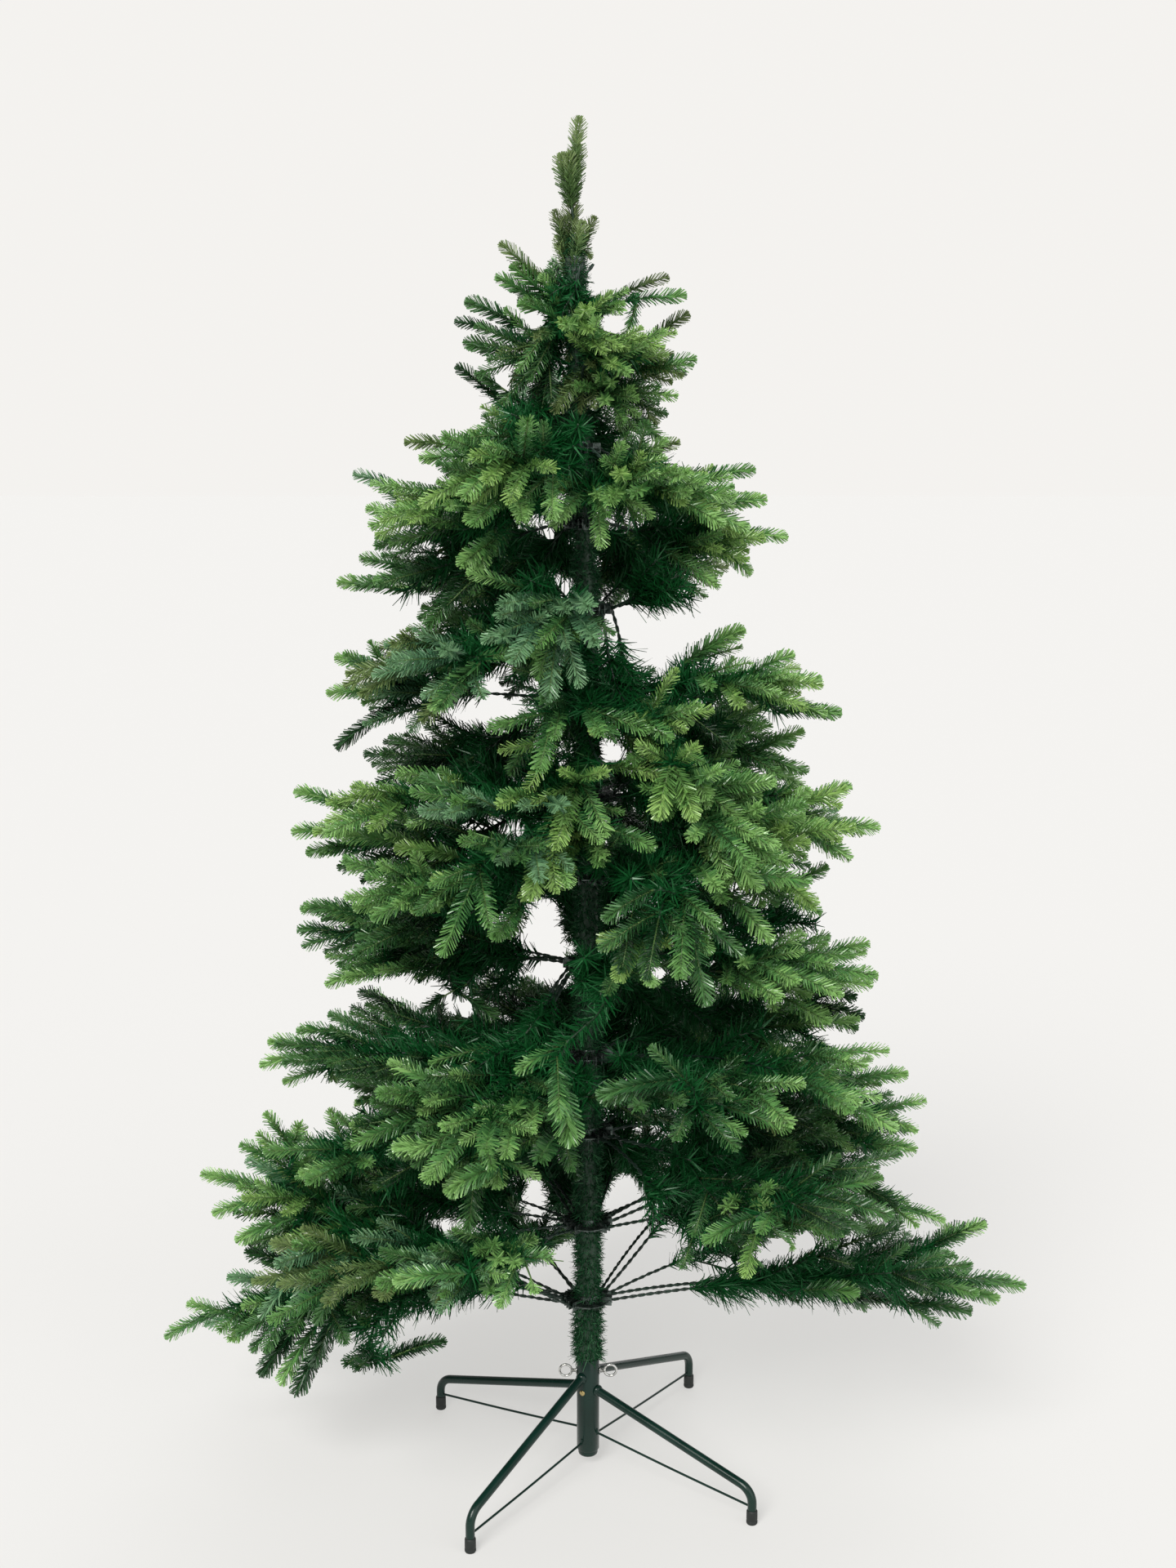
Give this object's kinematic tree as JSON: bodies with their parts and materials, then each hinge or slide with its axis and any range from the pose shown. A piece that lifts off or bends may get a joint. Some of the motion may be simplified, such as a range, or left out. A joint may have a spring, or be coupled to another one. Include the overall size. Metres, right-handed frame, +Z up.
{
  "type": "artificial christmas tree",
  "caption": "Free-standing artificial fir tree: a straight pole with wire boughs in tiers and uneven foliage masses, on a folding stand with bent tube legs and rubber feet.",
  "frame": {"origin": "on the floor, under the middle of the tree and on the axis of the stand tube", "axes": "+Z up along the pole, the side seen in the picture faces -Y, +X to the right of that side"},
  "size_m": [1.1755, 0.8884, 1.8],
  "materials": {
    "foliage": "dark green needles with lighter yellow-green tips, matte",
    "pole_enamel": "dark green paint",
    "bough_wire": "dark green coated wire",
    "stand_enamel": "dark green satin enamel",
    "foot_rubber": "matte black",
    "zinc": "bright zinc plate"
  },
  "bodies": {
    "root": {"bough_1_back": "bough_wire", "bough_1_back_left": "bough_wire", "bough_1_front_left": "bough_wire", "bough_1_left": "bough_wire", "bough_1_right": "bough_wire", "bough_1_right_rear": "bough_wire", "bough_2_front_right": "bough_wire", "bough_2_right": "bough_wire", "eye_bolt_left": "zinc", "eye_bolt_right": "zinc", "foliage_1_back": "foliage", "foliage_1_back_left": "foliage", "foliage_1_front_left": "foliage", "foliage_1_left": "foliage", "foliage_1_right": "foliage", "foliage_1_right_rear": "foliage", "foliage_2_back": "foliage", "foliage_2_back_left": "foliage", "foliage_2_front_left": "foliage", "foliage_2_front_right": "foliage", "foliage_2_left": "foliage", "foliage_2_right": "foliage", "foliage_3_back": "foliage", "foliage_3_back_left": "foliage", "foliage_3_front_left": "foliage", "foliage_3_front_right": "foliage", "foliage_3_left": "foliage", "foliage_3_right": "foliage", "foliage_4_back": "foliage", "foliage_4_front_left": "foliage", "foliage_4_front_right": "foliage", "foliage_4_left": "foliage", "foliage_4_right": "foliage", "foliage_5_back": "foliage", "foliage_5_front_left": "foliage", "foliage_5_front_right": "foliage", "foliage_5_left": "foliage", "foliage_5_right": "foliage", "foliage_6_back": "foliage", "foliage_6_front": "foliage", "foliage_6_left": "foliage", "foliage_6_right": "foliage", "foliage_7_back": "foliage", "foliage_7_left": "foliage", "foliage_7_right": "foliage", "foliage_leader": "foliage", "foot_back_left": "foot_rubber", "foot_back_right": "foot_rubber", "foot_front_left": "foot_rubber", "foot_front_right": "foot_rubber", "leg_back_left": "stand_enamel", "leg_back_right": "stand_enamel", "leg_front_left": "stand_enamel", "leg_front_right": "stand_enamel", "pole": "pole_enamel", "stand_tube": "stand_enamel", "strut_back_left": "stand_enamel", "strut_back_right": "stand_enamel", "strut_front_left": "stand_enamel", "strut_front_right": "stand_enamel"}
  },
  "joints": []
}
